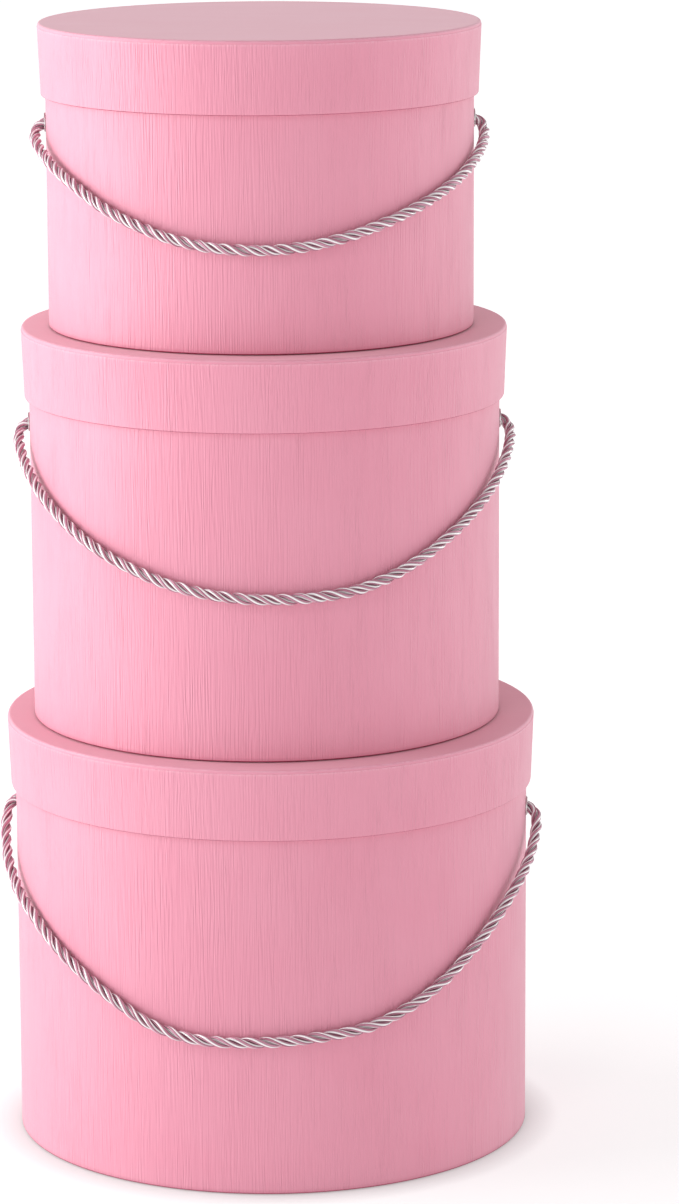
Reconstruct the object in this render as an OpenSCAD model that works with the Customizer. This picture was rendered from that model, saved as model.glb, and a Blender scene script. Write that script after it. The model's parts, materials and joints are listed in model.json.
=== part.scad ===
// Three graduated round hat boxes, stacked, each with a lift-off lid and a cord handle.
// Millimetres. +Z is up, the front is -Y. The origin is the middle of the large box's underside.

/* [Large box] */
// Outside diameter of the large box's wall
large_d = 321; // [310:1:340]
// Height of the large box with its lid on
large_h = 266; // [240:1:300]

/* [Medium box] */
// Outside diameter of the medium box's wall
medium_d = 291; // [280:1:300]
// Height of the medium box with its lid on
medium_h = 244; // [220:1:260]
// How far the medium box stands off centre along X
medium_shift = -2.5; // [-4:0.5:4]
// How far the medium box is turned on the large one, in degrees
medium_turn = 6; // [-20:1:20]

/* [Small box] */
// Outside diameter of the small box's wall
small_d = 262; // [250:1:270]
// Height of the small box with its lid on
small_h = 186; // [170:1:210]
// How far the small box stands off centre along X
small_shift = -4; // [-5:0.5:5]
// How far the small box is turned on the large one, in degrees
small_turn = 8; // [-20:1:20]

/* [Board and paper] */
// Thickness of the board that walls and rims are rolled from
wall_t = 1.8; // [1.4:0.1:2]
// Thickness of the board discs in bases and lids
disc_t = 2; // [1.6:0.1:2.4]
// Thickness of the covering and lining papers
paper_t = 0.3; // [0.2:0.05:0.35]

/* [Lids] */
// Height of a lid, from its lower edge to its top
lid_h = 44; // [40:1:50]
// How far a lid's lower edge stands out beyond the wall of its box
lid_low_out = 2.8; // [2.8:0.1:3.2]
// How far a lid's top stands out beyond the wall of its box
lid_top_out = 4.5; // [4:0.1:5]

/* [Handles] */
// Diameter of the cord
cord_d = 7; // [6.4:0.1:7.2]
// How far the eyelets sit below the lid's lower edge
eyelet_drop = 17; // [14:1:20]
// Inside diameter of an eyelet
eyelet_bore = 8.8; // [8.6:0.1:9.4]
// Outside diameter of an eyelet's flange
flange_d = 12; // [11.6:0.1:13]

/* [Hidden] */

$fn = 180;
BORE_FN = 48;
LEFT = -1;
RIGHT = 1;

// Colours
PAPER = [0.93, 0.60, 0.70];
BOARD = [0.62, 0.58, 0.54];
LINING = [0.96, 0.93, 0.90];
SILVER = [0.80, 0.80, 0.82];
CORD = [0.86, 0.74, 0.78];

// Where sheets meet and fold
turn_in = 12;
base_fold = 15;
base_margin = 3;
top_fold = disc_t + paper_t;
edge_r = 1.6;
lip_r = 0.8;
lid_skin = disc_t + 2 * paper_t;
knot_r = 7.5;
knot_len = 12;
knot_in = 6;
rest_gap = 0.05;

// Cord routes. Each row is [degrees round the box from its front, distance of the cord's
// middle from the wall, drop below the eyelets], from the left knot to the right one.
LARGE_ROUTE = [
    [-90, -6, 0], [-90, -3.5, 0], [-90, -1, 0.1], [-90, 1.2, 0.6], [-90, 3, 1.5], [-89.8, 4.7, 3.1],
    [-89.3, 6, 5.1], [-88.2, 6.8, 8.2], [-86, 7.1, 13.5], [-82, 6.9, 20], [-77, 6.4, 28], [-71, 5.8, 36],
    [-65, 5, 44], [-57, 3.8, 54], [-48, 3.7, 66], [-39, 3.7, 78], [-30, 3.7, 90], [-21, 3.7, 101],
    [-12, 3.7, 107], [-2, 3.7, 108], [8, 3.7, 107], [18, 3.7, 104.5], [27, 3.7, 101], [36, 3.7, 92.5],
    [44, 3.7, 82], [52, 3.7, 69], [59, 4.3, 57], [66, 5.2, 44.5], [73, 6.1, 33.5], [79, 6.7, 24.5],
    [84, 7.1, 16], [87.5, 7.1, 9.5], [89.3, 6.2, 5.3], [89.8, 4.8, 3.2], [90, 3, 1.5], [90, 1.2, 0.6],
    [90, -1, 0.1], [90, -3.5, 0], [90, -6, 0]
];
MEDIUM_ROUTE = [
    [-90, -6, 0], [-90, -3.5, 0], [-90, -1, 0.1], [-90, 1.2, 0.6], [-90, 3, 1.5], [-89.8, 4.7, 3.1],
    [-89.2, 6, 5.1], [-87.2, 6.8, 8.5], [-83, 6.5, 13], [-78, 5.8, 19], [-72, 4.9, 26.5], [-66, 4.3, 34],
    [-59, 3.7, 42], [-50, 3.7, 52], [-41, 3.7, 61], [-31, 3.7, 69.5], [-21, 3.7, 76.5], [-10, 3.7, 81],
    [0, 3.7, 82.5], [10, 3.7, 82], [20, 3.7, 79.5], [29, 3.7, 73.5], [38, 3.7, 65], [47, 3.7, 55],
    [56, 3.7, 45], [64, 4.3, 35.5], [71, 5.2, 26.5], [77, 6, 19], [82, 6.5, 13.2], [87, 6.7, 8],
    [89.3, 5.8, 5], [89.8, 4.5, 3], [90, 3, 1.5], [90, 1.2, 0.6], [90, -1, 0.1], [90, -3.5, 0], [90, -6, 0]
];
SMALL_ROUTE = [
    [-90, -6, 0], [-90, -3.5, 0], [-90, -1, 0.1], [-90, 1.2, 0.6], [-90, 3, 1.5], [-89.8, 4.7, 3.1],
    [-88.8, 6, 5.1], [-86.3, 6.8, 8], [-82, 6.6, 11.5], [-77, 5.8, 15.3], [-71, 4.8, 20], [-64, 4, 25.5],
    [-56, 3.7, 32], [-47, 3.7, 40.5], [-37, 3.7, 48.5], [-26, 3.7, 56], [-15, 3.7, 60.5], [-4, 3.7, 62],
    [6, 3.7, 61], [16, 3.7, 57.5], [26, 3.7, 52], [36, 3.7, 45.5], [46, 3.7, 38.5], [56, 3.7, 31.5],
    [65, 3.9, 25], [73, 4.5, 19.2], [79, 5.3, 14.8], [84, 6.1, 11], [87.5, 6.3, 7.6],
    [89.3, 5.7, 5], [89.8, 4.4, 3], [90, 3, 1.5], [90, 1.2, 0.6], [90, -1, 0.1], [90, -3.5, 0], [90, -6, 0]
];
RING_SIDES = 12;

// A box is [wall radius, height with lid, height of its underside, shift along X, turn, route]
LARGE = [large_d / 2, large_h, 0, 0, 0, LARGE_ROUTE];
medium_z = large_h + rest_gap;
small_z = medium_z + medium_h + rest_gap;
MEDIUM = [medium_d / 2, medium_h, medium_z, medium_shift, medium_turn, MEDIUM_ROUTE];
SMALL = [small_d / 2, small_h, small_z, small_shift, small_turn, SMALL_ROUTE];

function radius(box) = box[0];
function height(box) = box[1];
function underside(box) = box[2];
function shift_x(box) = box[3];
function turn(box) = box[4];
function route(box) = box[5];
function wall_top(box) = height(box) - lid_skin;
function rim_low(box) = height(box) - lid_h;
function eyelet_z(box) = rim_low(box) - eyelet_drop;

module place(box) {
    translate([shift_x(box), 0, underside(box)])
        rotate([0, 0, turn(box)])
            children();
}

// Points of an arc round [r, z], for a lathe outline
function arc(r, z, arc_r, from, to, steps = 5) =
    [for (i = [0:steps]) let (a = from + (to - from) * i / steps) [r + arc_r * cos(a), z + arc_r * sin(a)]];

// The two cord holes through a wall
module cord_holes(box, d) {
    translate([0, 0, eyelet_z(box)])
        rotate([0, 90, 0])
            cylinder(h = 2 * radius(box) + 20, d = d, center = true, $fn = BORE_FN);
}

module lathe(points) {
    rotate_extrude()
        polygon(points);
}

// Board tube of the box's wall
module wall(box) {
    r = radius(box) - paper_t;
    color(BOARD)
        difference() {
            lathe([
                [r - wall_t, 2 * paper_t], [r, 2 * paper_t],
                [r, wall_top(box) - paper_t], [r - wall_t, wall_top(box) - paper_t]
            ]);
            cord_holes(box, eyelet_bore + 1);
        }
}

// Board disc of the box's floor, pressed thinner where the covering paper folds under it
module base(box) {
    r = radius(box) - paper_t - wall_t;
    fold_r = radius(box) - base_fold;
    color(BOARD)
        lathe([
            [0, paper_t], [fold_r, paper_t], [fold_r, 2 * paper_t],
            [r, 2 * paper_t], [r, 2 * paper_t + disc_t], [0, 2 * paper_t + disc_t]
        ]);
}

// Covering paper of the wall, folded in over the top edge and under the base
module wrap(box) {
    r = radius(box);
    in_r = r - wall_t - paper_t;
    top = wall_top(box);
    color(PAPER)
        difference() {
            lathe(concat(
                [[r - base_fold, paper_t]],
                arc(r - lip_r, paper_t + lip_r, lip_r, -90, 0),
                [
                    [r, top], [in_r - paper_t, top], [in_r - paper_t, top - turn_in],
                    [in_r, top - turn_in], [in_r, top - paper_t],
                    [r - paper_t, top - paper_t], [r - paper_t, 2 * paper_t], [r - base_fold, 2 * paper_t]
                ]
            ));
            cord_holes(box, eyelet_bore + 1);
        }
}

// Paper disc glued over the fold under the base: the box stands on it
module base_paper(box) {
    color(PAPER)
        cylinder(h = paper_t, r = radius(box) - base_margin);
}

// Lining paper inside the wall, up to the folded edge of the covering paper
module lining(box) {
    r = radius(box) - paper_t - wall_t;
    floor_z = 2 * paper_t + disc_t;
    color(LINING)
        difference() {
            lathe([
                [r - paper_t, floor_z], [r, floor_z],
                [r, wall_top(box) - turn_in], [r - paper_t, wall_top(box) - turn_in]
            ]);
            cord_holes(box, eyelet_bore + 1);
        }
}

// Lining paper on the floor
module floor_paper(box) {
    translate([0, 0, 2 * paper_t + disc_t])
        color(LINING)
            cylinder(h = paper_t, r = radius(box) - wall_t - 2 * paper_t);
}

// Metal eyelet pressed through the wall: a barrel, a domed flange outside and a rolled lip inside
module eyelet(box, side) {
    bore_r = eyelet_bore / 2;
    barrel_r = bore_r + 0.5;
    flange_r = flange_d / 2;
    lip_x = -wall_t - 2 * paper_t - 0.15;
    color(SILVER)
        translate([side * radius(box), 0, eyelet_z(box)])
            rotate([0, side * 90, 0])
                rotate_extrude($fn = BORE_FN)
                    polygon([
                        [bore_r, lip_x - 0.6], [bore_r + 0.3, lip_x - 1], [barrel_r + 0.7, lip_x - 0.8],
                        [barrel_r + 1, lip_x], [barrel_r, lip_x], [barrel_r, 0], [flange_r, 0],
                        [flange_r - 0.2, 0.5], [flange_r - 0.7, 0.8], [barrel_r + 0.2, 1],
                        [bore_r + 0.2, 0.8], [bore_r, 0.4]
                    ]);
}

// Cord route as points in the box's own frame, smoothed between the rows of its list
function smooth_row(p0, p1, p2, p3, t) =
    0.5 * (2 * p1 + (p2 - p0) * t + (2 * p0 - 5 * p1 + 4 * p2 - p3) * t * t
        + (3 * p1 - p0 - 3 * p2 + p3) * t * t * t);
function smooth_route(rows) =
    let (last = len(rows) - 1)
    concat(
        [for (i = [0:last - 1]) for (t = [0, 0.5])
            smooth_row(rows[max(i - 1, 0)], rows[i], rows[i + 1], rows[min(i + 2, last)], t)],
        [rows[last]]
    );
function route_point(box, row) =
    let (r = radius(box) + row[1])
    [r * sin(row[0]), -r * cos(row[0]), eyelet_z(box) - row[2]];
function unit(v) = v / norm(v);
function tangents(path) =
    let (last = len(path) - 1)
    [for (i = [0:last]) unit(path[min(i + 1, last)] - path[max(i - 1, 0)])];
// Carries one side vector along the path, square to it all the way
function side_vectors(dirs, start) =
    [for (i = 0, v = start; i < len(dirs); i = i + 1,
        v = i < len(dirs) ? unit(v - (v * dirs[i]) * dirs[i]) : v) v];

// The cord from knot to knot: one tube swept along its route
module cord(box) {
    path = [for (row = smooth_route(route(box))) route_point(box, row)];
    dirs = tangents(path);
    sides = side_vectors(dirs, [0, 0, 1]);
    rings = len(path);
    points = [for (i = [0:rings - 1]) for (k = [0:RING_SIDES - 1])
        let (a = 360 * k / RING_SIDES, up = sides[i], across = cross(dirs[i], up))
            path[i] + cord_d / 2 * (cos(a) * up + sin(a) * across)];
    skin = [for (i = [0:rings - 2]) for (k = [0:RING_SIDES - 1])
        let (a = i * RING_SIDES + k, b = i * RING_SIDES + (k + 1) % RING_SIDES)
            [a + RING_SIDES, b + RING_SIDES, b, a]];
    first_cap = [for (k = [0:RING_SIDES - 1]) k];
    last_cap = [for (k = [RING_SIDES - 1:-1:0]) (rings - 1) * RING_SIDES + k];
    color(CORD)
        polyhedron(points, concat(skin, [first_cap, last_cap]));
}

// Knot that holds an end of the cord inside the box
module knot(box, side) {
    color(CORD)
        translate([side * (radius(box) - knot_in), 0, eyelet_z(box)])
            rotate([0, -side * 90, 0])
                rotate_extrude($fn = BORE_FN)
                    polygon(concat(
                        [[0, 0], [knot_r - 3, 0]],
                        arc(knot_r - 3, 3, 3, -90, 0, 3),
                        arc(knot_r - 3, knot_len - 3, 3, 0, 90, 3),
                        [[0, knot_len]]
                    ));
}

// How far out the lid's board stands at a height, on its outer face
function rim_out(box, z) =
    let (share = (z - rim_low(box)) / (lid_h - top_fold))
    radius(box) + lid_low_out - paper_t + share * (lid_top_out - lid_low_out);

// Board strip of the lid's rim, leaning out towards the top
module lid_rim(box) {
    low = rim_low(box) + paper_t;
    top = height(box) - paper_t - disc_t;
    color(BOARD)
        lathe([
            [rim_out(box, low) - wall_t, low], [rim_out(box, low), low],
            [rim_out(box, top), top], [rim_out(box, top) - wall_t, top]
        ]);
}

// Outline of a disc whose upper edge is rounded, from its axis out
function round_disc(r, low, top, round_r) =
    concat([[0, low], [r, low]], arc(r - round_r, top - round_r, round_r, 0, 90), [[0, top]]);

// Board disc of the lid's top, glued on the rim's upper edge
module lid_top(box) {
    r = radius(box) + lid_top_out - 2 * paper_t;
    top = height(box) - paper_t;
    color(BOARD)
        lathe(round_disc(r, top - disc_t, top, edge_r - paper_t));
}

// Covering paper of the lid's rim, folded in under its lower edge
module lid_rim_paper(box) {
    low = rim_low(box);
    top = height(box) - top_fold;
    fold_top = low + turn_in;
    out_low = rim_out(box, low) + paper_t;
    color(PAPER)
        lathe(concat(
            [[rim_out(box, low) - wall_t - paper_t, low]],
            arc(out_low - lip_r, low + lip_r, lip_r, -90, 0),
            [
                [rim_out(box, top) + paper_t, top], [rim_out(box, top), top],
                [rim_out(box, low + paper_t), low + paper_t],
                [rim_out(box, low + paper_t) - wall_t, low + paper_t],
                [rim_out(box, fold_top) - wall_t, fold_top],
                [rim_out(box, fold_top) - wall_t - paper_t, fold_top]
            ]
        ));
}

// Covering paper of the lid's top, folded down over the edge of the disc
module lid_top_paper(box) {
    r = radius(box) + lid_top_out - paper_t;
    top = height(box);
    color(PAPER)
        difference() {
            lathe(round_disc(r, top - top_fold, top, edge_r));
            lathe(round_disc(r - paper_t, top - top_fold - 1, top - paper_t, edge_r - paper_t));
        }
}

// Lining strip inside the lid's rim, above the folded covering paper
module lid_rim_lining(box) {
    low = rim_low(box) + turn_in;
    top = height(box) - lid_skin;
    color(LINING)
        lathe([
            [rim_out(box, low) - wall_t - paper_t, low], [rim_out(box, low) - wall_t, low],
            [rim_out(box, top) - wall_t, top], [rim_out(box, top) - wall_t - paper_t, top]
        ]);
}

// Lining disc under the lid's top
module lid_top_lining(box) {
    top = height(box) - paper_t - disc_t;
    translate([0, 0, top - paper_t])
        color(LINING)
            cylinder(h = paper_t, r = rim_out(box, top - paper_t) - wall_t);
}

place(LARGE) wall(LARGE);  // large_wall
place(LARGE) base(LARGE);  // large_base
place(LARGE) wrap(LARGE);  // large_wrap
place(LARGE) base_paper(LARGE);  // large_base_paper
place(LARGE) lining(LARGE);  // large_lining
place(LARGE) floor_paper(LARGE);  // large_floor_paper
place(LARGE) eyelet(LARGE, LEFT);  // large_eyelet_left
place(LARGE) eyelet(LARGE, RIGHT);  // large_eyelet_right
place(LARGE) cord(LARGE);  // large_cord
place(LARGE) knot(LARGE, LEFT);  // large_knot_left
place(LARGE) knot(LARGE, RIGHT);  // large_knot_right
place(LARGE) lid_rim(LARGE);  // large_lid_rim
place(LARGE) lid_top(LARGE);  // large_lid_top
place(LARGE) lid_rim_paper(LARGE);  // large_lid_rim_paper
place(LARGE) lid_top_paper(LARGE);  // large_lid_top_paper
place(LARGE) lid_rim_lining(LARGE);  // large_lid_rim_lining
place(LARGE) lid_top_lining(LARGE);  // large_lid_top_lining

place(MEDIUM) wall(MEDIUM);  // medium_wall
place(MEDIUM) base(MEDIUM);  // medium_base
place(MEDIUM) wrap(MEDIUM);  // medium_wrap
place(MEDIUM) base_paper(MEDIUM);  // medium_base_paper
place(MEDIUM) lining(MEDIUM);  // medium_lining
place(MEDIUM) floor_paper(MEDIUM);  // medium_floor_paper
place(MEDIUM) eyelet(MEDIUM, LEFT);  // medium_eyelet_left
place(MEDIUM) eyelet(MEDIUM, RIGHT);  // medium_eyelet_right
place(MEDIUM) cord(MEDIUM);  // medium_cord
place(MEDIUM) knot(MEDIUM, LEFT);  // medium_knot_left
place(MEDIUM) knot(MEDIUM, RIGHT);  // medium_knot_right
place(MEDIUM) lid_rim(MEDIUM);  // medium_lid_rim
place(MEDIUM) lid_top(MEDIUM);  // medium_lid_top
place(MEDIUM) lid_rim_paper(MEDIUM);  // medium_lid_rim_paper
place(MEDIUM) lid_top_paper(MEDIUM);  // medium_lid_top_paper
place(MEDIUM) lid_rim_lining(MEDIUM);  // medium_lid_rim_lining
place(MEDIUM) lid_top_lining(MEDIUM);  // medium_lid_top_lining

place(SMALL) wall(SMALL);  // small_wall
place(SMALL) base(SMALL);  // small_base
place(SMALL) wrap(SMALL);  // small_wrap
place(SMALL) base_paper(SMALL);  // small_base_paper
place(SMALL) lining(SMALL);  // small_lining
place(SMALL) floor_paper(SMALL);  // small_floor_paper
place(SMALL) eyelet(SMALL, LEFT);  // small_eyelet_left
place(SMALL) eyelet(SMALL, RIGHT);  // small_eyelet_right
place(SMALL) cord(SMALL);  // small_cord
place(SMALL) knot(SMALL, LEFT);  // small_knot_left
place(SMALL) knot(SMALL, RIGHT);  // small_knot_right
place(SMALL) lid_rim(SMALL);  // small_lid_rim
place(SMALL) lid_top(SMALL);  // small_lid_top
place(SMALL) lid_rim_paper(SMALL);  // small_lid_rim_paper
place(SMALL) lid_top_paper(SMALL);  // small_lid_top_paper
place(SMALL) lid_rim_lining(SMALL);  // small_lid_rim_lining
place(SMALL) lid_top_lining(SMALL);  // small_lid_top_lining
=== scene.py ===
import json
import math

import bpy
import numpy as np
from mathutils import Matrix, Vector, noise


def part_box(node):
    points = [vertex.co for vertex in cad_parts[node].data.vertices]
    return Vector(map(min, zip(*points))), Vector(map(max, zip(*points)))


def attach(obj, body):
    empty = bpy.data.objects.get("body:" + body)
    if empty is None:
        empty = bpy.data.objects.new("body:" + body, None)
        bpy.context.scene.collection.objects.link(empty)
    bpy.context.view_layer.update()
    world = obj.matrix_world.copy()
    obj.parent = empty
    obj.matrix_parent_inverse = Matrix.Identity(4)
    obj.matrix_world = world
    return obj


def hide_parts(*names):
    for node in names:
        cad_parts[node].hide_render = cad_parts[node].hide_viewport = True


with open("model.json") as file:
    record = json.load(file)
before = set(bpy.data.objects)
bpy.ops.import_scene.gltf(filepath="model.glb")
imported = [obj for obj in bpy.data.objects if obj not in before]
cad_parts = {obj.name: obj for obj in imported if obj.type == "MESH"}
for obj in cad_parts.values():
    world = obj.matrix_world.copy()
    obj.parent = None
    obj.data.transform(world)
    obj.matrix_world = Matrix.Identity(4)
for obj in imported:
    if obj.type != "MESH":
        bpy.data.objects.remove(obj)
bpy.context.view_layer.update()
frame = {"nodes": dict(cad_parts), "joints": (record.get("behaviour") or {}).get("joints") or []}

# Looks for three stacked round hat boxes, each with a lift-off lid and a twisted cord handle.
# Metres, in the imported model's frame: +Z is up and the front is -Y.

BOX_NAMES = ("large", "medium", "small")
SIDES = {"left": -1, "right": 1}

# Paper and board: thicknesses, how far the papers fold round edges, and how round they bend
PAPER_T = 0.0003
WALL_T = 0.0018
DISC_T = 0.002
TURN_IN = 0.012
BASE_FOLD = 0.015
EDGE_R = 0.0016
LIP_R = 0.0008
TOP_FOLD = DISC_T + PAPER_T
EYELET_HOLE_D = 0.0098
ROUND_SEGMENTS = 360

# Cord: three strands wound round each other, each a bundle of yarns with creases between
CORD_D = 0.007
STRANDS = 3
STRAND_R = CORD_D / 2 / (1 + 2 / math.sqrt(3))
HELIX_R = CORD_D / 2 - STRAND_R
YARNS = 6
YARN_LAY = 0.09
YARN_DEPTH = 0.2
CREASE_POWER = 3
YARN_COLUMNS = 8
RING_STEP = 0.0011
ROPE_SHARP = 70
# Its shading: how much the yarns' tones vary, where the painted shade of the cord's inside ends
# and fades, and how fast the fibres change along a metre
TONE_SPREAD = 0.35
CORE_R = 0.56 * CORD_D / 2
CORE_FADE = 1.55
FIBRE_RATE = 90
# Its cut ends: over what length and by how much they open
SPLAY_LENGTH = 0.007
KNOT_SPLAY = 1.1

# Cord routes. Each row is (degrees round the box from its front, distance of the cord's
# middle from the wall, drop below the eyelets), from the left knot to the right one.
ROUTES = {
    "large": [
        (-90, -.006, 0), (-90, -.0035, 0), (-90, -.001, .0001), (-90, .0012, .0006),
        (-90, .003, .0015), (-89.8, .0047, .0031), (-89.3, .006, .0051), (-88.2, .0068, .0082),
        (-86, .0071, .0135), (-82, .0069, .02), (-77, .0064, .028), (-71, .0058, .036),
        (-65, .005, .044), (-57, .0038, .054), (-48, .0037, .066), (-39, .0037, .078),
        (-30, .0037, .09), (-21, .0037, .101), (-12, .0037, .107), (-2, .0037, .108),
        (8, .0037, .107), (18, .0037, .1045), (27, .0037, .101), (36, .0037, .0925),
        (44, .0037, .082), (52, .0037, .069), (59, .0043, .057), (66, .0052, .0445),
        (73, .0061, .0335), (79, .0067, .0245), (84, .0071, .016), (87.5, .0071, .0095),
        (89.3, .0062, .0053), (89.8, .0048, .0032), (90, .003, .0015), (90, .0012, .0006),
        (90, -.001, .0001), (90, -.0035, 0), (90, -.006, 0),
    ],
    "medium": [
        (-90, -.006, 0), (-90, -.0035, 0), (-90, -.001, .0001), (-90, .0012, .0006),
        (-90, .003, .0015), (-89.8, .0047, .0031), (-89.2, .006, .0051), (-87.2, .0068, .0085),
        (-83, .0065, .013), (-78, .0058, .019), (-72, .0049, .0265), (-66, .0043, .034),
        (-59, .0037, .042), (-50, .0037, .052), (-41, .0037, .061), (-31, .0037, .0695),
        (-21, .0037, .0765), (-10, .0037, .081), (0, .0037, .0825), (10, .0037, .082),
        (20, .0037, .0795), (29, .0037, .0735), (38, .0037, .065), (47, .0037, .055),
        (56, .0037, .045), (64, .0043, .0355), (71, .0052, .0265), (77, .006, .019),
        (82, .0065, .0132), (87, .0067, .008), (89.3, .0058, .005), (89.8, .0045, .003),
        (90, .003, .0015), (90, .0012, .0006), (90, -.001, .0001), (90, -.0035, 0), (90, -.006, 0),
    ],
    "small": [
        (-90, -.006, 0), (-90, -.0035, 0), (-90, -.001, .0001), (-90, .0012, .0006),
        (-90, .003, .0015), (-89.8, .0047, .0031), (-88.8, .006, .0051), (-86.3, .0068, .008),
        (-82, .0066, .0115), (-77, .0058, .0153), (-71, .0048, .02), (-64, .004, .0255),
        (-56, .0037, .032), (-47, .0037, .0405), (-37, .0037, .0485), (-26, .0037, .056),
        (-15, .0037, .0605), (-4, .0037, .062), (6, .0037, .061), (16, .0037, .0575),
        (26, .0037, .052), (36, .0037, .0455), (46, .0037, .0385), (56, .0037, .0315),
        (65, .0039, .025), (73, .0045, .0192), (79, .0053, .0148), (84, .0061, .011),
        (87.5, .0063, .0076), (89.3, .0057, .005), (89.8, .0044, .003), (90, .003, .0015),
        (90, .0012, .0006), (90, -.001, .0001), (90, -.0035, 0), (90, -.006, 0),
    ],
}
CORD_LAYS = {"large": 0.030, "medium": 0.0265, "small": 0.025}

# Where the overlaps of the papers lie, in degrees round each box from its front, and how wide
# they are. The step of the free edge is in radians, the fade of the far side in widths.
WRAP_SEAMS = {"large": 171, "medium": 186, "small": 178}
RIM_SEAMS = {"large": 196, "medium": 164, "small": 190}
SEAM_W = 0.014
SEAM_STEP = 0.0006
SEAM_FLAT = 0.0009
SEAM_END = 1.6
SEAM_FADE = 0.6

# How far glued paper strays from its shape: inwards on walls and rims, down on tops
WRAP_DENT = 0.00012
RIM_DENT = 0.00008
TOP_DIP = 0.00012
DENT_SCALE = 9
SKIN_DEPTH = 4 * PAPER_T
FLAT_MARGIN = 3 * EDGE_R

# How far from a fold the paper is painted pale, as wear and a painted highlight, and how far from
# a lower edge it is painted dark, as painted shade in the crease
PALE_FOLD_REACH = 0.0012
CREASE_SHADE_REACH = 0.00065


class Box:
    """Where one box stands and how big it is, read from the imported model."""

    def __init__(self, name):
        wrap_low, wrap_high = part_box(f"{name}_wrap")
        swing = next(j for j in frame["joints"] if j["name"] == f"{name}_handle_swing")
        self.name = name
        self.radius = (wrap_high.y - wrap_low.y) / 2
        self.shift = (wrap_low.x + wrap_high.x) / 2
        self.turn = math.atan2(-swing["axis"][1], -swing["axis"][0])
        self.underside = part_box(f"{name}_base_paper")[0].z
        self.wall_top = wrap_high.z
        self.rim_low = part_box(f"{name}_lid_rim_paper")[0].z
        self.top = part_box(f"{name}_lid_top_paper")[1].z
        self.eyelet_z = swing["pos_m"][2]

    def place(self, points):
        """Points round the box's own axis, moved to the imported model's frame."""
        c, s = math.cos(self.turn), math.sin(self.turn)
        x, y, z = np.asarray(points, float).T
        return np.column_stack([self.shift + c * x - s * y, s * x + c * y, z])


BOXES = {name: Box(name) for name in BOX_NAMES}


# ---------------------------------------------------------------- camera

CAMERA_PLACE = (0.2838, -2.9222, 0.9584)
CAMERA_HEADING = 4.7
CAMERA_PITCH = -12.02
CAMERA_ROLL = -0.25
CAMERA_LENS = 143.6


def add_camera():
    """The camera, where the stack is seen from slightly above and a little to the right."""
    data = bpy.data.cameras.new("camera")
    data.lens = CAMERA_LENS
    camera = bpy.data.objects.new("camera", data)
    bpy.context.scene.collection.objects.link(camera)
    heading = Matrix.Rotation(math.radians(CAMERA_HEADING), 4, "Z")
    pitch = Matrix.Rotation(math.radians(90 + CAMERA_PITCH), 4, "X")
    roll = Matrix.Rotation(math.radians(CAMERA_ROLL), 4, "Z")
    camera.matrix_world = Matrix.Translation(CAMERA_PLACE) @ heading @ pitch @ roll
    bpy.context.scene.camera = camera


# ---------------------------------------------------------------- mesh tools

def add_mesh(name, points, faces, material, sharp_deg=35, values=None):
    """A smooth-shaded mesh object with one material and float values on its points."""
    mesh = bpy.data.meshes.new(name)
    mesh.from_pydata([tuple(p) for p in points], [], faces)
    for key, column in (values or {}).items():
        layer = mesh.attributes.new(key, "FLOAT", "POINT")
        layer.data.foreach_set("value", np.asarray(column, np.float32))
    mesh.shade_smooth()
    mesh.set_sharp_from_angle(angle=math.radians(sharp_deg))
    mesh.materials.append(material)
    mesh.validate()
    obj = bpy.data.objects.new(name, mesh)
    bpy.context.scene.collection.objects.link(obj)
    return obj


def finish_piece(obj, body, slot, *nodes):
    """Puts a piece on its body and hides the nodes it stands for."""
    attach(obj, body)
    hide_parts(*nodes)
    return obj


def arc(r, z, arc_r, start, end, steps=6):
    """Outline points of an arc, in degrees, round (r, z)."""
    angles = [math.radians(start + (end - start) * i / steps) for i in range(steps + 1)]
    return [(r + arc_r * math.cos(a), z + arc_r * math.sin(a)) for a in angles]


def line(start, end, step):
    """Outline points from start up to, but not with, end."""
    count = max(1, round(math.dist(start, end) / step))
    return [tuple(s + (e - s) * i / count for s, e in zip(start, end)) for i in range(count)]


def nearness(point, places, reach):
    """1 at any of the places, fading to 0 at the reach."""
    return max([max(0.0, 1 - math.dist(point, place) / reach) for place in places], default=0.0)


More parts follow.
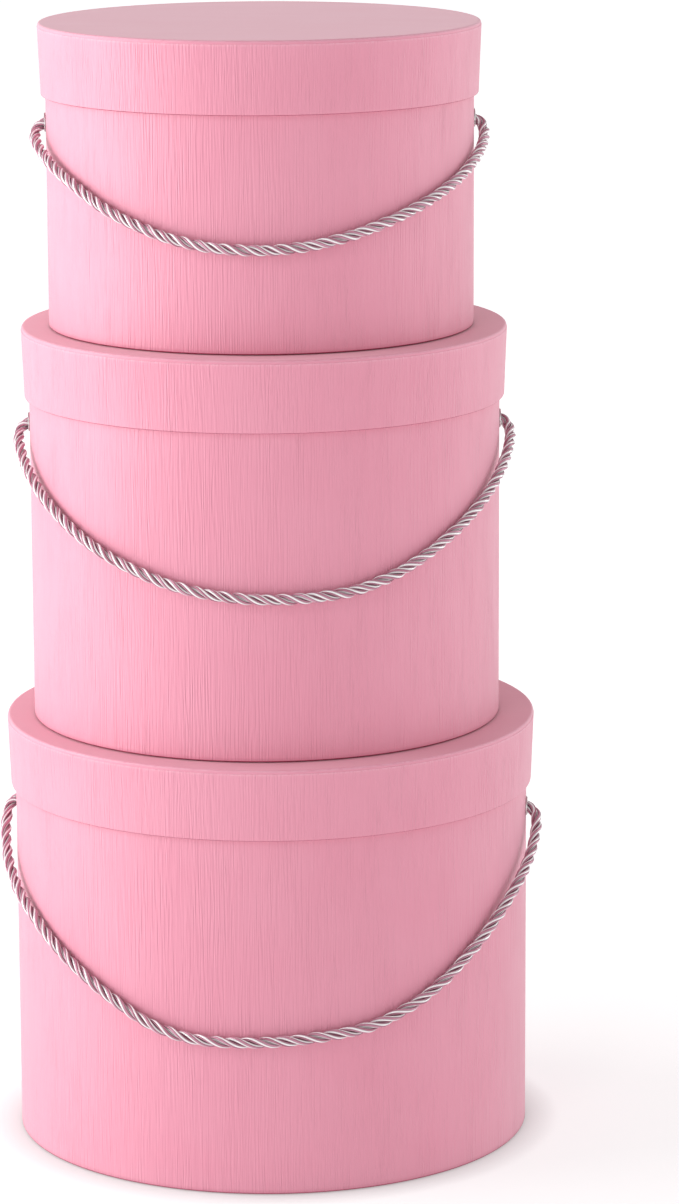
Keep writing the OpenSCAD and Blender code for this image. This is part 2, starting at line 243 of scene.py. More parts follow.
def lathe(name, box, outline, material, seam=None, pale_folds=(), shade_places=(), dent=0.0, dip=0.0):
    """A closed outline of (radius, height) turned round the box's axis.

    seam is the angle where the sheet overlaps itself. The two lists after it are the places
    along the outline where folds are painted pale, as wear and a painted highlight, and where
    they are painted dark, as painted shade. dent is how far the outer skin strays inwards,
    and dip how far the flat top strays down.
    """
    angles = np.linspace(0, 2 * math.pi, ROUND_SEGMENTS, endpoint=False)
    lift = np.zeros_like(angles)
    outer_r = max(r for r, _ in outline)
    if seam is not None:
        # The sheet's free edge is a crisp step; where it covers its other end it fades out
        start = math.radians(seam)
        angles = np.sort(np.concatenate([angles, [start, start + SEAM_STEP, start + SEAM_FLAT]]))
        past = (angles - start) / (SEAM_W / outer_r)
        rise = (angles - start) / SEAM_STEP
        lift = PAPER_T * np.clip(np.minimum(rise, (SEAM_END - past) / SEAM_FADE), 0, 1)
        lift[past < 0] = 0
    points = []
    for angle, step in zip(angles, lift):
        right, back = math.sin(angle), -math.cos(angle)
        for r, z in outline:
            uneven = 0.5 + 0.5 * noise.noise(DENT_SCALE * Vector((r * right, r * back, z)))
            if z > box.top - PAPER_T / 2 and r < outer_r - FLAT_MARGIN:
                z -= dip * uneven
            if r > outer_r - SKIN_DEPTH:
                r += step - dent * uneven
            points.append((r * right, r * back, z))
    rows, columns = len(outline), len(angles)
    faces = [(a, d, c, b) for a, b, c, d in ring_faces(columns, rows)]
    # Pale near the folds as wear and a painted highlight; dark near the lower edges as painted
    # shade
    wear_and_highlight = [nearness(point, pale_folds, PALE_FOLD_REACH) for point in outline]
    painted_shade = [min(1.0, 2 * nearness(point, shade_places, CREASE_SHADE_REACH)) for point in outline]
    values = {"wear_and_highlight": np.tile(wear_and_highlight, columns), "painted_shade": np.tile(painted_shade, columns)}
    return add_mesh(name, box.place(points), faces, material, values=values)


def ring_faces(columns, rows):
    """Quads between closed outlines of so many rows, set side by side in a closed ring."""
    faces = []
    for i in range(columns):
        here, there = i * rows, (i + 1) % columns * rows
        for k in range(rows):
            above = (k + 1) % rows
            faces.append((here + k, here + above, there + above, there + k))
    return faces


# ---------------------------------------------------------------- materials

def new_material(name):
    """A node material, its tree and shader, and a small helper that adds nodes to it."""
    material = bpy.data.materials.new(name)
    material.use_nodes = True
    tree = material.node_tree
    shader = tree.nodes["Principled BSDF"]

    def add(kind, links=None, **settings):
        node = tree.nodes.new(kind)
        for key, value in settings.items():
            if hasattr(node, key) and key not in node.inputs:
                setattr(node, key, value)
            else:
                node.inputs[key].default_value = value
        for key, socket in (links or {}).items():
            tree.links.new(socket, node.inputs[key])
        return node

    return material, tree, shader, add


def set_shader(shader, **values):
    """Sets plain values on a shader, with _ for the spaces in their names."""
    for key, value in values.items():
        shader.inputs[key.replace("_", " ")].default_value = value


def remap(add, value, low, high):
    """Stretches a 0-1 value to the range low-high."""
    node = add("ShaderNodeMapRange", {"Value": value}, **{"To Min": low, "To Max": high})
    return node.outputs["Result"]


def contrast(add, value, low, high):
    """Stretches the part of a value between low and high to 0-1."""
    node = add("ShaderNodeMapRange", {"Value": value}, **{"From Min": low, "From Max": high})
    return node.outputs["Result"]


def feed(node, number, value):
    """Links a socket to a node's input, or sets the input to a plain value."""
    if isinstance(value, bpy.types.NodeSocket):
        node.id_data.links.new(value, node.inputs[number])
    else:
        node.inputs[number].default_value = value


def maths(add, operation, first, second=0.0):
    """The result of an operation on one or two values, each a socket or a number."""
    node = add("ShaderNodeMath", operation=operation)
    feed(node, 0, first)
    feed(node, 1, second)
    return node.outputs[0]


def blend_colours(add, factor, first, second):
    """A mix of two colours, each a socket or an RGB triple."""
    node = add("ShaderNodeMix", {"Factor": factor}, data_type="RGBA")
    for number, value in ((6, first), (7, second)):
        feed(node, number, (*value, 1) if isinstance(value, tuple) else value)
    return node.outputs[2]


def own_place(add):
    """Where a point lies in the part's own space, in metres."""
    return add("ShaderNodeTexCoord").outputs["Object"]


def point_value(add, key):
    """A value that a mesh carries on its points."""
    return add("ShaderNodeAttribute", attribute_name=key).outputs["Fac"]


def stretched_noise(add, scale, stretch=(1, 1, 1), detail=2.0, rough=0.5):
    """Noise in the part's own space, drawn out along the axes by the stretch factors."""
    mapped = add("ShaderNodeMapping", {"Vector": own_place(add)})
    mapped.inputs["Scale"].default_value = [1 / s for s in stretch]
    settings = {"Scale": scale, "Detail": detail, "Roughness": rough}
    return add("ShaderNodeTexNoise", {"Vector": mapped.outputs[0]}, **settings).outputs["Fac"]


def finish_shader(tree, shader, tint, roughness, height, depth, strength):
    """Links a surface's colour, roughness and relief to its shader."""
    bump = tree.nodes.new("ShaderNodeBump")
    bump.inputs["Strength"].default_value = strength
    bump.inputs["Distance"].default_value = depth
    tree.links.new(height, bump.inputs["Height"])
    tree.links.new(tint, shader.inputs["Base Color"])
    tree.links.new(roughness, shader.inputs["Roughness"])
    tree.links.new(bump.outputs[0], shader.inputs["Normal"])


PINK = (0.765, 0.262, 0.37)
PINK_DEEP = (0.69, 0.20, 0.30)
PINK_PALE = (0.92, 0.55, 0.66)
# Dark wine painted along the lower edges: painted shade in the creases and contact lines
PINK_SHADE_DARK = (0.30, 0.01, 0.05)

# The embossed streaks: how far apart the ribs are, how much they sway, in radians, and how far
# the streaks are drawn out along each axis on walls and on flat discs
STREAK_GAP = 0.0021
STREAK_SWAY = 26.0
UPRIGHT = (1, 1, 34)
ACROSS = (34, 1, 1)
WALL_STREAKS = 0.00022
DISC_STREAKS = 0.00004
MEAN_R = 0.145


def distance_round(add):
    """How far round the box a point lies from the front, in metres."""
    split = add("ShaderNodeSeparateXYZ", {0: own_place(add)})
    angle = maths(add, "ARCTAN2", split.outputs["X"], split.outputs["Y"])
    return maths(add, "MULTIPLY", angle, MEAN_R)


def distance_back(add):
    """How far back on a lid a point lies, in metres."""
    return add("ShaderNodeSeparateXYZ", {0: own_place(add)}).outputs["Y"]


def paper_material(name, across, stretch, streak_depth):
    """Pink covering paper with fine embossed streaks, painted a little darker in their grooves as
    painted shade, painted pale at its folds as wear and a painted highlight, and painted dark at
    its lower edges as painted shade.
    """
    material, tree, shader, add = new_material(name)
    sway = stretched_noise(add, 150.0, [s ** 0.7 for s in stretch])
    turns = maths(add, "MULTIPLY", across(add), 2 * math.pi / STREAK_GAP)
    phase = maths(add, "ADD", turns, maths(add, "MULTIPLY", sway, STREAK_SWAY))
    ribs = contrast(add, maths(add, "SINE", phase), -1.0, 1.0)
    streaks = stretched_noise(add, 1100.0, stretch, detail=1.0)
    patches = stretched_noise(add, 90.0, [s ** 0.5 for s in stretch])
    fibre = stretched_noise(add, 3800.0)
    blotch = stretched_noise(add, 16.0, detail=3.0)
    wear_and_highlight = point_value(add, "wear_and_highlight")
    painted_shade = point_value(add, "painted_shade")

    groove = contrast(add, streaks, 0.38, 0.64)
    strength = remap(add, contrast(add, patches, 0.35, 0.65), 0.45, 1.0)
    height = maths(add, "MULTIPLY", ribs, 0.55)
    height = maths(add, "ADD", maths(add, "MULTIPLY", groove, 0.8), height)
    height = maths(add, "MULTIPLY", height, strength)
    height = maths(add, "ADD", height, maths(add, "MULTIPLY", fibre, 0.04))

    pale_share = remap(add, contrast(add, blotch, 0.35, 0.65), 0.0, 0.06)
    pale_streaks = remap(add, contrast(add, streaks, 0.35, 0.6), 0.1, 0.4)
    # The grooves of the streaks are painted a little darker: painted shade
    tint = blend_colours(add, remap(add, groove, 0.0, 0.08), PINK, PINK_DEEP)
    tint = blend_colours(add, pale_share, tint, PINK_PALE)
    # Pale at the folds: wear and a painted highlight, broken up along the streaks
    tint = blend_colours(add, maths(add, "MULTIPLY", wear_and_highlight, pale_streaks), tint, PINK_PALE)
    # Painted shade: dark along the lower edges, where the crease and contact lines are
    tint = blend_colours(add, maths(add, "MULTIPLY", painted_shade, 0.9), tint, PINK_SHADE_DARK)
    finish_shader(tree, shader, tint, remap(add, patches, 0.55, 0.68), height, streak_depth, 1.0)
    # The painted shade also takes the specular and the sheen away along the lower edges, so that
    # it stays dark
    tree.links.new(remap(add, painted_shade, 0.5, 0.0), shader.inputs["Specular IOR Level"])
    tree.links.new(remap(add, painted_shade, 0.3, 0.0), shader.inputs["Sheen Weight"])
    set_shader(shader, IOR=1.8, Sheen_Roughness=0.5)
    return material


def lining_material():
    """Off-white lining paper with loose fibres."""
    material, tree, shader, add = new_material("lining_paper")
    fibre = stretched_noise(add, 900.0, (1, 1, 3), detail=4.0, rough=0.6)
    cloud = stretched_noise(add, 40.0, detail=3.0)
    specks = contrast(add, stretched_noise(add, 420.0, (1, 1, 6)), 0.66, 0.72)
    tint = blend_colours(add, cloud, (0.90, 0.86, 0.80), (0.83, 0.78, 0.71))
    tint = blend_colours(add, maths(add, "MULTIPLY", specks, 0.25), tint, (0.52, 0.44, 0.36))
    finish_shader(tree, shader, tint, remap(add, cloud, 0.72, 0.88), fibre, 0.00008, 0.5)
    return material


def board_material():
    """Grey pressed board with flecks and faint layers."""
    material, tree, shader, add = new_material("board")
    cloud = stretched_noise(add, 55.0, detail=4.0)
    layers = stretched_noise(add, 1800.0, (6, 6, 1))
    flecks = contrast(add, stretched_noise(add, 700.0), 0.62, 0.70)
    tint = blend_colours(add, cloud, (0.36, 0.31, 0.27), (0.27, 0.23, 0.20))
    tint = blend_colours(add, maths(add, "MULTIPLY", flecks, 0.5), tint, (0.13, 0.10, 0.08))
    finish_shader(tree, shader, tint, remap(add, cloud, 0.8, 0.95), layers, 0.0001, 0.6)
    return material


def metal_material():
    """Nickel-plated pressed metal with fine scratches and dulled patches."""
    material, tree, shader, add = new_material("eyelet_metal")
    scratches = stretched_noise(add, 2600.0, (1, 9, 1), detail=3.0, rough=0.6)
    dull = stretched_noise(add, 260.0, detail=3.0)
    tint = blend_colours(add, dull, (0.80, 0.79, 0.78), (0.62, 0.60, 0.60))
    finish_shader(tree, shader, tint, remap(add, dull, 0.16, 0.36), scratches, 0.00003, 0.35)
    set_shader(shader, Metallic=1.0)
    return material


YARN_TONES = (
    (0.0, (1.0, 1.0, 1.0)), (0.35, (1.0, 0.95, 0.97)),
    (0.65, (0.42, 0.13, 0.20)), (1.0, (0.66, 0.30, 0.41)),
)
# Painted shade: dark in the creases between yarns, and darker still towards the cord's inside
CREASE_SHADE_COLOUR = (0.20, 0.06, 0.10)
CORE_SHADE_COLOUR = (0.12, 0.02, 0.04)
FIBRE_COLOUR = (0.50, 0.34, 0.39)
FIBRES_ROUND = 70.0


def cord_material():
    """Satin yarns, white and mauve by turns, with painted shade in their creases and towards the
    cord's inside, and fine fibres.
    """
    material, tree, shader, add = new_material("twisted_cord")
    round_yarns = maths(add, "MULTIPLY", point_value(add, "around"), FIBRES_ROUND)
    place = add("ShaderNodeCombineXYZ", {"X": round_yarns, "Y": point_value(add, "along")})
    settings = {"Scale": 1.6, "Detail": 3.0, "Roughness": 0.6}
    fibre = add("ShaderNodeTexNoise", {"Vector": place.outputs[0]}, **settings).outputs["Fac"]
    ramp = add("ShaderNodeValToRGB", {"Fac": point_value(add, "tone")})
    while len(ramp.color_ramp.elements) < len(YARN_TONES):
        ramp.color_ramp.elements.new(0.5)
    for element, (position, colour) in zip(ramp.color_ramp.elements, YARN_TONES):
        element.position = position
        element.color = (*colour, 1)
    # Painted shade in the creases and towards the cord's inside
    crease_shade = maths(add, "MULTIPLY", point_value(add, "groove"), 0.7)
    core_shade = maths(add, "MULTIPLY", point_value(add, "inside"), 0.9)
    tint = blend_colours(add, crease_shade, ramp.outputs["Color"], CREASE_SHADE_COLOUR)
    tint = blend_colours(add, core_shade, tint, CORE_SHADE_COLOUR)
    tint = blend_colours(add, remap(add, fibre, 0.0, 0.16), tint, FIBRE_COLOUR)
    finish_shader(tree, shader, tint, remap(add, fibre, 0.14, 0.26), fibre, 0.00008, 0.5)
    set_shader(shader, Metallic=0.2, Sheen_Weight=0.1, Sheen_Roughness=0.3, IOR=1.6)
    return material


MATERIALS = {
    "upright_paper": paper_material("pink_paper_upright", distance_round, UPRIGHT, WALL_STREAKS),
    "flat_paper": paper_material("pink_paper_flat", distance_back, ACROSS, DISC_STREAKS),
    "lining": lining_material(),
    "board": board_material(),
    "metal": metal_material(),
    "cord": cord_material(),
}


# ---------------------------------------------------------------- cords

def smooth_rows(rows, steps=24):
    """A smooth curve through the rows of a route."""
    rows = np.array(rows, float)
    padded = np.vstack([rows[:1], rows, rows[-1:]])
    t = np.arange(steps)[:, None] / steps
    parts = []
    for i in range(len(rows) - 1):
        p0, p1, p2, p3 = padded[i:i + 4]
        bend = 2 * p0 - 5 * p1 + 4 * p2 - p3
        twist = 3 * p1 - p0 - 3 * p2 + p3
        parts.append(0.5 * (2 * p1 + (p2 - p0) * t + bend * t ** 2 + twist * t ** 3))
    return np.vstack([*parts, rows[-1:]])


def distances(points):
    """How far along the line each point lies."""
    return np.concatenate([[0], np.cumsum(np.linalg.norm(np.diff(points, axis=0), axis=1))])


def even_points(points, step):
    """The same line with its points evenly spaced."""
    along = distances(points)
    at = np.linspace(0, along[-1], round(along[-1] / step) + 1)
    return np.column_stack([np.interp(at, along, points[:, axis]) for axis in range(3)])


def unit(vectors):
    """The same directions, one long."""
    return vectors / np.linalg.norm(vectors, axis=-1, keepdims=True)


def route_points(box):
    """The middle line of a box's cord, in the box's own frame."""
    degrees, out, drop = smooth_rows(ROUTES[box.name]).T
    angle = np.radians(degrees)
    r = box.radius + out
    points = np.column_stack([r * np.sin(angle), -r * np.cos(angle), box.eyelet_z - drop])
    return even_points(points, RING_STEP)


def side_frames(points):
    """Two directions square to a line, which turn as little as they can along it."""
    ahead = unit(np.gradient(points, axis=0))
    up = np.empty_like(ahead)
    side = np.cross(ahead[0], (0.31, 0.95, 0.05))
    for i, direction in enumerate(ahead):
        side = unit(side - direction * np.dot(side, direction))
        up[i] = side
    return up, np.cross(ahead, up)


def rope(name, points, place, lay, seed, splay=0.0):
    """Three helical strands of lobed yarns laid along a line. splay opens the far end."""
    rng = np.random.default_rng(seed)
    rings = len(points)
    along = distances(points)
    up, across = side_frames(points)
    columns = YARNS * YARN_COLUMNS
    groove = np.abs(2 * (np.arange(columns) % YARN_COLUMNS) / YARN_COLUMNS - 1) ** CREASE_POWER
    tones = TONE_SPREAD * rng.random((STRANDS, YARNS))
    tones = tones + (1 - TONE_SPREAD) * (np.arange(YARNS) % 2)
    opening = 1 + splay * np.clip((along - along[-1] + SPLAY_LENGTH) / SPLAY_LENGTH, 0, 1) ** 2
    all_points, faces = [], []
    values = {"tone": [], "groove": [], "inside": [], "around": [], "along": []}
    for strand in range(STRANDS):
        turn = 2 * math.pi * (along / lay + strand / STRANDS)
        out = np.cos(turn)[:, None] * up + np.sin(turn)[:, None] * across
        centre = points + (HELIX_R * opening)[:, None] * out
        forward = unit(np.gradient(centre, axis=0))
        side = unit(np.cross(forward, out))
        lift = np.cross(side, forward)
        base = strand * columns * rings
        for k in range(columns):
            angle = 2 * math.pi * (k / columns - along / YARN_LAY)
            r = STRAND_R * (1 - YARN_DEPTH * groove[k])
            ring = centre + r * (np.cos(angle)[:, None] * lift + np.sin(angle)[:, None] * side)
            # How near the cord's middle a point lies; the material paints points near it dark, as
            # painted shade, as it does the creases
            out_share = np.linalg.norm(ring - points, axis=1) / (CORE_R * opening)
            column = {
                "tone": tones[strand, k // YARN_COLUMNS],
                "groove": groove[k],
                "inside": np.clip(CORE_FADE - out_share, 0, 1),
                "around": abs(2 * k / columns - 1) + strand,
                "along": along * FIBRE_RATE,
            }
            all_points.append(ring)
            for key, value in column.items():
                values[key].append(np.broadcast_to(value, rings))
            a, b = base + k * rings, base + (k + 1) % columns * rings
            faces += [(a + i, a + i + 1, b + i + 1, b + i) for i in range(rings - 1)]
        faces.append([base + k * rings for k in range(columns)])
        faces.append([base + (columns - 1 - k) * rings + rings - 1 for k in range(columns)])
    values = {key: np.concatenate(parts) for key, parts in values.items()}
    all_points = place(np.vstack(all_points))
    return add_mesh(name, all_points, faces, MATERIALS["cord"], ROPE_SHARP, values)


# A knot: where it starts inside the wall's outer face, its wraps, and its tail
KNOT_START = 0.006
KNOT_LEAD = 0.001
KNOT_R = 0.0042
KNOT_TURNS = 1.9
KNOT_EASE = 0.35
KNOT_PITCH = 0.0058
KNOT_TAIL = 0.011
KNOT_STEPS = 70
TAIL_STEPS = 20


def knot_points(box, side):
    """A stopper knot inside the wall: two wraps and a short tail, in the box's own frame."""
    turns = np.linspace(0, KNOT_TURNS, KNOT_STEPS)
    eased = np.clip(turns / KNOT_EASE, 0, 1)
    inward = KNOT_LEAD + KNOT_PITCH * turns
    swing = KNOT_R * eased * eased * (3 - 2 * eased)
    angle = 2 * math.pi * turns
    wraps = np.column_stack([inward, swing * np.cos(angle), swing * np.sin(angle)])
    way = unit(wraps[-1] - wraps[-2])
    t = np.linspace(0.06, 1, TAIL_STEPS)[:, None]
    tail = wraps[-1] + KNOT_TAIL * (t * way * (1 - t) + t * t * np.array([1.0, 0.0, 0.0]))
    inward, y, z = np.vstack([[[0, 0, 0]], wraps, tail]).T
    x = side * (box.radius - KNOT_START - inward)
    return even_points(np.column_stack([x, side * y, box.eyelet_z + z]), RING_STEP)


def add_cord(box, seed):
    """A box's cord with the knot at each of its ends."""
    lay = CORD_LAYS[box.name]
    handle = f"{box.name}_handle"
    for number, (side, sign) in enumerate(SIDES.items(), 1):
        name = f"{box.name}_knot_{side}"
        points = knot_points(box, sign)
        knot = rope(f"{name}_rope", points, box.place, lay, seed + number, KNOT_SPLAY)
        finish_piece(knot, handle, "twisted_cord", name)
    line_points = route_points(box)
    cord = rope(f"{box.name}_cord_rope", line_points, box.place, lay, seed)
    finish_piece(cord, handle, "twisted_cord", f"{box.name}_cord")
    box.place([(-box.radius, 0, box.eyelet_z)])[0]
    box.place(line_points)


# ---------------------------------------------------------------- papers

HOLE_SEGMENTS = 48


def cut_eyelet_holes(obj, box):
    """Cuts the two cord holes through a paper tube."""
    steps = HOLE_SEGMENTS
    half = 1.1 * box.radius
    r = EYELET_HOLE_D / 2
    angles = [2 * math.pi * i / steps for i in range(steps)]
    ring = [(r * math.cos(a), box.eyelet_z + r * math.sin(a)) for a in angles]
    points = [(x, y, z) for x in (-half, half) for y, z in ring]
    faces = [(i, (i + 1) % steps, steps + (i + 1) % steps, steps + i) for i in range(steps)]
    faces += [list(range(steps - 1, -1, -1)), list(range(steps, 2 * steps))]
    cutter = add_mesh("hole_cutter", box.place(points), faces, MATERIALS["board"])
    cut = obj.modifiers.new("holes", "BOOLEAN")
    cut.operation = "DIFFERENCE"
    cut.object = cutter
    cut.solver = "EXACT"
    evaluated = obj.evaluated_get(bpy.context.evaluated_depsgraph_get())
    cut_mesh = bpy.data.meshes.new_from_object(evaluated)
    obj.modifiers.clear()
    obj.data = cut_mesh
    bpy.data.objects.remove(cutter)


# Spacing of outline points on the flat parts of the papers
FLOOR_STEP = 0.005
WALL_STEP = 0.014
RIM_STEP = 0.012
LIP_STEP = 0.001
TOP_STEP = 0.01
# How far above a lower fold and below an upper one the evenly spaced points stop, and how much
# a rim's upper edge is blunted
FOLD_ROOM = 0.003
TOP_ROOM = 0.002
EDGE_STEP = 0.0001


def add_wrap(box):
    """Covering paper of a wall, folded in over its top edge and under its base."""
    r, low, top = box.radius, box.underside + PAPER_T, box.wall_top
    in_r = r - WALL_T - PAPER_T
    lip = r - LIP_R
    outline = line((r - BASE_FOLD, low), (lip, low), FLOOR_STEP)
    outline += arc(lip, low + LIP_R, LIP_R, -90, 0)
    outline += line((r, low + FOLD_ROOM), (r, top - TOP_ROOM), WALL_STEP)
    outline += arc(r - PAPER_T, top - PAPER_T, PAPER_T, 0, 90, 3)
    outline += arc(in_r, top - PAPER_T, PAPER_T, 90, 180, 3)
    outline += [
        (in_r - PAPER_T, top - TURN_IN), (in_r, top - TURN_IN), (in_r, top - PAPER_T),
        (r - PAPER_T, top - PAPER_T), (r - PAPER_T, low + PAPER_T), (r - BASE_FOLD, low + PAPER_T),
    ]
    # Just above the bottom lip and at the top edge the paper is painted pale, as wear and a
    # painted highlight
    pale_folds = [(r, low + 2.5 * LIP_R), (r - WALL_T / 2, top)]
    # The underside of the bottom lip is painted dark, as the painted contact shadow under the box
    shade_places = [(r - 0.55 * LIP_R, low + 0.1 * LIP_R), (r - 0.25 * LIP_R, low + 0.3 * LIP_R)]
    name = f"{box.name}_wrap_paper"
    seam = WRAP_SEAMS[box.name]
    wrap = lathe(name, box, outline, MATERIALS["upright_paper"], seam, pale_folds, shade_places, WRAP_DENT)
    cut_eyelet_holes(wrap, box)
    finish_piece(wrap, f"{box.name}_box", "pink_paper", f"{box.name}_wrap")


def rim_radii(box):
    """Outer radius of the lid's covering strip at its lower and upper edge."""
    mesh = frame["nodes"][f"{box.name}_lid_rim_paper"].data
    co = np.empty(len(mesh.vertices) * 3)
    mesh.vertices.foreach_get("co", co)
    x, y, z = co.reshape(-1, 3).T
    r = np.hypot(x - box.shift, y)
    low_band = z < box.rim_low + LIP_R + 2 * EDGE_STEP
    return r[low_band].max(), r.max()


def add_rim_paper(box):
    """Covering strip of a lid's rim, folded in under its lower edge."""
    low, top = box.rim_low, box.top - TOP_FOLD
    low_r, top_r = rim_radii(box)
    lean = (top_r - low_r) / (top - low)

    def skin(z, depth=0.0):
        """The point at a height that lies so deep under the strip's outer face."""
        return low_r + lean * (z - low) - depth, z

    inner = WALL_T + PAPER_T
    fold_top, shoulder = low + TURN_IN, top - EDGE_R + EDGE_STEP
    outline = line(skin(low, inner + PAPER_T), skin(low, LIP_R), LIP_STEP)
    outline += arc(skin(low)[0] - LIP_R, low + LIP_R, LIP_R, -90, 0)
    outline += line(skin(low + FOLD_ROOM), skin(shoulder), RIM_STEP)
    outline += [
        skin(shoulder), skin(top - EDGE_STEP), skin(top, EDGE_STEP), skin(top, PAPER_T),
        (skin(low, PAPER_T)[0], low + PAPER_T), (skin(low, inner)[0], low + PAPER_T),
        skin(fold_top, inner), skin(fold_top, inner + PAPER_T),
    ]
    # The rim's upper edge is painted pale, as wear and a painted highlight
    pale_folds = [(top_r, top)]
    # The rim's lower edge is painted dark, as the painted shadow between the rim and the wall
    shade_places = [(low_r - 0.7 * LIP_R, low)]
    name = f"{box.name}_lid_strip_paper"
    seam = RIM_SEAMS[box.name]
    strip = lathe(name, box, outline, MATERIALS["upright_paper"], seam, pale_folds, shade_places, RIM_DENT)
    finish_piece(strip, f"{box.name}_lid", "pink_paper", f"{box.name}_lid_rim_paper")


# Radius of the pinhole left at the middle of a turned disc
AXIS_R = 0.0004


def add_top_paper(box):
    """Covering disc of a lid's top, folded down over the edge of its board."""
    low, top = box.top - TOP_FOLD, box.top
    r = rim_radii(box)[1] - PAPER_T
    outline = [(r - PAPER_T, low), (r, low)]
    outline += arc(r - EDGE_R, top - EDGE_R, EDGE_R, 0, 90, 8)
    outline += line((r - EDGE_R - LIP_STEP, top), (AXIS_R, top), TOP_STEP)
    outline += [(AXIS_R, top), (AXIS_R, top - PAPER_T)]
    outline += arc(r - EDGE_R, top - EDGE_R, EDGE_R - PAPER_T, 90, 0, 8)
    # The disc's rounded edge is painted pale, as wear and a painted highlight
    pale_folds = [(r - 0.3 * EDGE_R, top - 0.3 * EDGE_R)]
    name = f"{box.name}_lid_disc_paper"
    disc = lathe(name, box, outline, MATERIALS["flat_paper"], pale_folds=pale_folds, dip=TOP_DIP)
    finish_piece(disc, f"{box.name}_lid", "pink_paper", f"{box.name}_lid_top_paper")


# ---------------------------------------------------------------- eyelets

# Bore, barrel and flange, the flange's edge and crown, its dome, and the lip rolled over inside
BORE_R = 0.0044
BARREL_R = 0.0049
FLANGE_R = 0.006
FLANGE_EDGE_R = 0.0002
CROWN_R = 0.0006
DOME_H = 0.001
DOME_SINK = 0.0007
INNER_LIP_R = 0.0006
INNER_LIP_W = 0.0009
INNER_LIP_SINK = 0.0001
INNER_GAP = 0.00015
EYELET_SEGMENTS = 96
EYELET_SHARP = 50


def add_eyelet(box, side):
    """A pressed eyelet: a domed flange, a barrel through the wall and a rolled lip inside."""
    lip = -(WALL_T + 2 * PAPER_T + INNER_GAP)
    crown = BORE_R + CROWN_R
    outline = arc(crown, DOME_H - CROWN_R, CROWN_R, 180, 90)
    outline += arc(crown + FLANGE_EDGE_R, -DOME_SINK, DOME_H + DOME_SINK, 84, 30, 8)
    outline = [(min(r, FLANGE_R - FLANGE_EDGE_R / 2), x) for r, x in outline if x > FLANGE_EDGE_R]
    outline += arc(FLANGE_R - FLANGE_EDGE_R, FLANGE_EDGE_R, FLANGE_EDGE_R, 40, -90, 5)
    outline += [(BARREL_R, 0.0), (BARREL_R, lip), (BARREL_R + INNER_LIP_W, lip)]
    outline += arc(BARREL_R + INNER_LIP_R / 2, lip - INNER_LIP_SINK, INNER_LIP_R, 0, -180, 10)
    sign = SIDES[side]
    points = []
    for i in range(EYELET_SEGMENTS):
        a = 2 * math.pi * i / EYELET_SEGMENTS
        for r, x in outline:
            y, z = sign * r * math.cos(a), box.eyelet_z + r * math.sin(a)
            points.append((sign * (box.radius + x), y, z))
    faces = ring_faces(EYELET_SEGMENTS, len(outline))
    name = f"{box.name}_eyelet_{side}"
    eyelet = add_mesh(f"{name}_metal", box.place(points), faces, MATERIALS["metal"], EYELET_SHARP)
    finish_piece(eyelet, f"{box.name}_box", "eyelet_metal", name)


# ---------------------------------------------------------------- CAD nodes that stay

NODE_MATERIALS = {
    "wall": "board", "base": "board", "lid_rim": "board", "lid_top": "board",
    "base_paper": "flat_paper", "lining": "lining", "floor_paper": "lining",
    "lid_rim_lining": "lining", "lid_top_lining": "lining",
}


def dress_nodes(box):
    """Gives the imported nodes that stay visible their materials."""
    for part, material in NODE_MATERIALS.items():
        mesh = frame["nodes"][f"{box.name}_{part}"].data
        mesh.materials.clear()
        mesh.materials.append(MATERIALS[material])


# ---------------------------------------------------------------- stage

FLOOR_HALF = 14.0
FLOOR_DROP = 0.0002
WORLD_LOW = 1.0
WORLD_HIGH = 0.42
LOOK_HEIGHT = 0.35


def add_floor():
    """A pale floor that glows more with distance, so that it fades into the white studio."""
    corners = [(-1, -1), (1, -1), (1, 1), (-1, 1)]
    points = [(x * FLOOR_HALF, y * FLOOR_HALF, -FLOOR_DROP) for x, y in corners]
    material, tree, shader, add = new_material("floor")
    grain = stretched_noise(add, 3.0)
    tint = blend_colours(add, grain, (0.57, 0.56, 0.56), (0.55, 0.55, 0.55))
    reach = add("ShaderNodeVectorMath", {0: own_place(add)}, operation="LENGTH").outputs["Value"]
    # The glow, a painted light, is halved at the foot of the stack as a painted contact shadow,
    # rises just outside it, and rises again out to 1.8 m
    far = remap(add, contrast(add, reach, 0.2, 1.8), 0.58, 0.76)
    near = remap(add, contrast(add, reach, 0.158, 0.182), 0.5, 1.0)
    tree.links.new(tint, shader.inputs["Base Color"])
    tree.links.new(maths(add, "MULTIPLY", near, far), shader.inputs["Emission Strength"])
    set_shader(shader, Roughness=0.9, Specular_IOR_Level=0.0, Emission_Color=(1, 1, 1, 1))
    floor = add_mesh("floor", points, [(0, 1, 2, 3)], material)


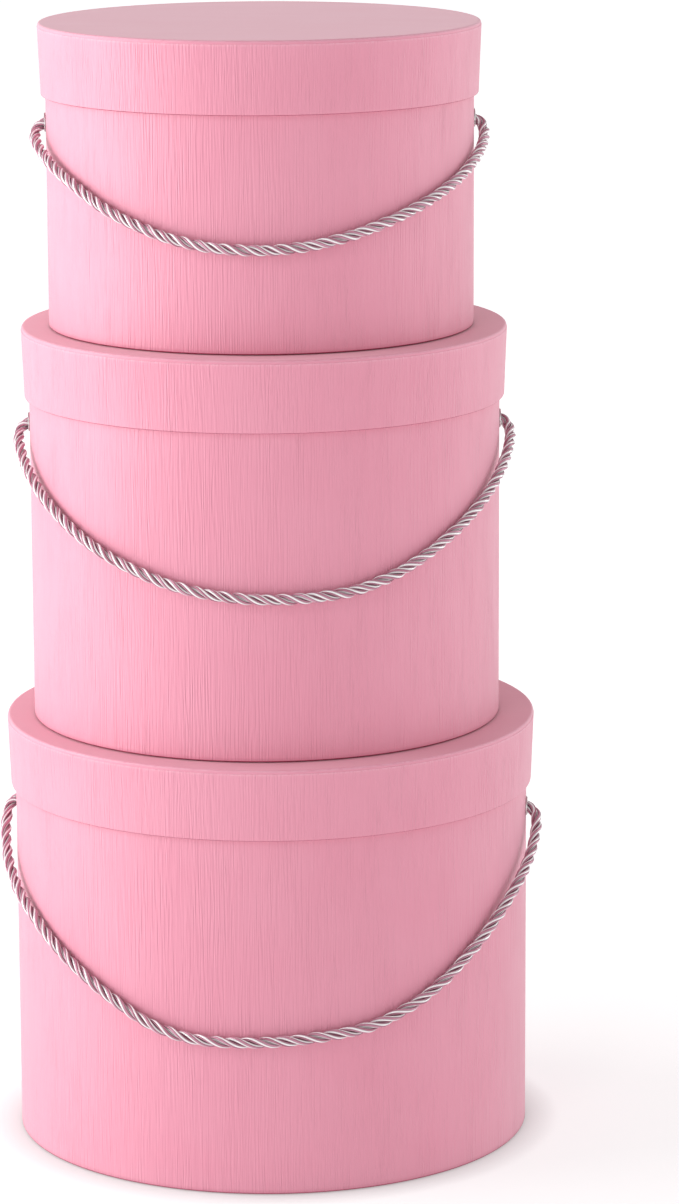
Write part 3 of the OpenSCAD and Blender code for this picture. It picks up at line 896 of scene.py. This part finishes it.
def add_light(name, azimuth, elevation, distance, size, power):
    """A soft light that looks at the stack. Azimuth runs from the front to the right."""
    data = bpy.data.lights.new(name, "AREA")
    data.shape = "RECTANGLE"
    data.size, data.size_y = size
    data.energy = power
    light = bpy.data.objects.new(name, data)
    bpy.context.scene.collection.objects.link(light)
    a, e = math.radians(azimuth), math.radians(elevation)
    way = Vector((math.sin(a) * math.cos(e), -math.cos(a) * math.cos(e), math.sin(e)))
    light.location = Vector((0, 0, LOOK_HEIGHT)) + distance * way
    light.rotation_mode = "QUATERNION"
    light.rotation_quaternion = (-way).to_track_quat("-Z", "Y")


def add_world():
    """A white studio, bright near the horizon and dimmer overhead."""
    world = bpy.data.worlds.new("studio")
    world.use_nodes = True
    tree = world.node_tree
    way = tree.nodes.new("ShaderNodeTexCoord")
    split = tree.nodes.new("ShaderNodeSeparateXYZ")
    level = tree.nodes.new("ShaderNodeMapRange")
    level.interpolation_type = "SMOOTHSTEP"
    settings = {"From Min": 0.05, "From Max": 0.75, "To Min": WORLD_LOW, "To Max": WORLD_HIGH}
    for key, value in settings.items():
        level.inputs[key].default_value = value
    tree.links.new(way.outputs["Generated"], split.inputs[0])
    tree.links.new(split.outputs["Z"], level.inputs["Value"])
    tree.links.new(level.outputs["Result"], tree.nodes["Background"].inputs["Strength"])
    tree.nodes["Background"].inputs["Color"].default_value = (1, 1, 1, 1)
    bpy.context.scene.world = world


def add_stage():
    """The floor, the lights and the studio round them."""
    add_floor()
    add_light("key", azimuth=-84, elevation=13, distance=2.4, size=(2.4, 2.0), power=57)
    add_light("rim", azimuth=115, elevation=15, distance=2.8, size=(0.8, 2.0), power=13)
    add_light("front", azimuth=-12, elevation=48, distance=2.6, size=(0.4, 0.4), power=4)
    add_world()
    bpy.context.scene.view_settings.view_transform = "Standard"


# ---------------------------------------------------------------- the object

add_camera()
for index, box in enumerate(BOXES.values()):
    add_cord(box, 100 * (index + 1))
for box in BOXES.values():
    add_wrap(box)
    add_rim_paper(box)
    add_top_paper(box)
    for side in SIDES:
        add_eyelet(box, side)
    dress_nodes(box)
add_stage()
